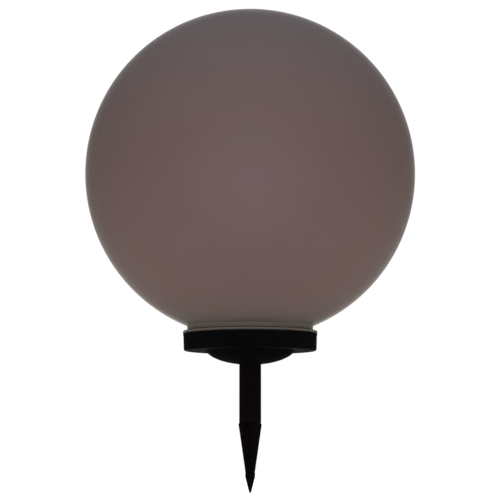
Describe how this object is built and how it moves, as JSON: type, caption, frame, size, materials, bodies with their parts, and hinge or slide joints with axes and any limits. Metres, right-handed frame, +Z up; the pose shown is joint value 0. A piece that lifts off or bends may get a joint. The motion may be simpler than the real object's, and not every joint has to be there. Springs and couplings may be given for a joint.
{
  "type": "solar garden globe light",
  "caption": "Round smoked globe twist-locked on a flat black base, on a tube and finned ground spike, with solar panel and lamps inside.",
  "frame": {"origin": "on the stake's axis at the ground line, where the tube meets the shoulders of the spike", "axes": "+Z up along the stake through the globe's centre, -Y towards the picture's camera, +X to its right"},
  "size_m": [0.3999, 0.4, 0.585],
  "materials": {
    "spike_plastic": "black moulded, fine satin",
    "tube_plastic": "black extruded, satin",
    "base_plastic": "black moulded, semi-gloss",
    "smoked_globe": "smoked translucent plastic, satin inside",
    "seal_rubber": "matt",
    "screw_steel": "plated",
    "foam_tape": "foam",
    "panel_board": "white laminate",
    "silicon": "dark blue cells",
    "clear_resin": "clear cast resin",
    "circuit_board": "green solder mask",
    "component_black": "moulded",
    "lamp_lens": "clear lamp lens",
    "holder_plastic": "black moulded",
    "cell_sleeve": "printed-free green sleeve",
    "contact_steel": "nickel plated",
    "switch_plastic": "moulded",
    "button_rubber": "soft matt",
    "wire_jacket": "insulated wire"
  },
  "bodies": {
    "spike": {"ground_spike": "spike_plastic"},
    "tube": {"stake_tube": "tube_plastic"},
    "lamp_head": {"stake_dome": "base_plastic", "stake_socket": "base_plastic", "dome_seal": "seal_rubber", "flange_screws": "screw_steel", "base_cup": "base_plastic", "globe_gasket": "seal_rubber", "lamp_deck": "base_plastic", "deck_screws": "screw_steel", "panel_tape": "foam_tape", "panel_backing": "panel_board", "panel_cells": "silicon", "panel_resin": "clear_resin", "ring_board": "circuit_board", "ring_board_screws": "screw_steel", "lamps": "lamp_lens", "battery_holder": "holder_plastic", "holder_screws": "screw_steel", "battery_cell": "cell_sleeve", "battery_contacts": "contact_steel", "controller_board": "circuit_board", "board_components": "component_black", "board_screws": "screw_steel", "switch_body": "switch_plastic", "switch_seal": "seal_rubber", "switch_nut": "contact_steel", "panel_wires": "wire_jacket", "switch_wires": "wire_jacket", "battery_wires": "wire_jacket", "lamp_wires": "wire_jacket"},
    "globe": {"globe": "smoked_globe"},
    "button": {"switch_button": "button_rubber"}
  },
  "joints": [
    {"name": "stake_pull", "type": "slide", "parent": "spike", "child": "tube", "axis": [0, 0, 1], "range_m": [0, 0.026]},
    {"name": "head_lift", "type": "slide", "parent": "tube", "child": "lamp_head", "axis": [0, 0, 1], "range_m": [0, 0.025]},
    {"name": "globe_twist", "type": "hinge", "parent": "lamp_head", "child": "globe", "pos_m": [0, 0, 0.107], "axis": [0, 0, 1], "range_deg": [0, 36]},
    {"name": "switch_press", "type": "slide", "parent": "lamp_head", "child": "button", "axis": [0, 0, 1], "range_m": [0, 0.0018], "stiffness_N_per_m": 1600, "springref_m": -0.0004}
  ]
}
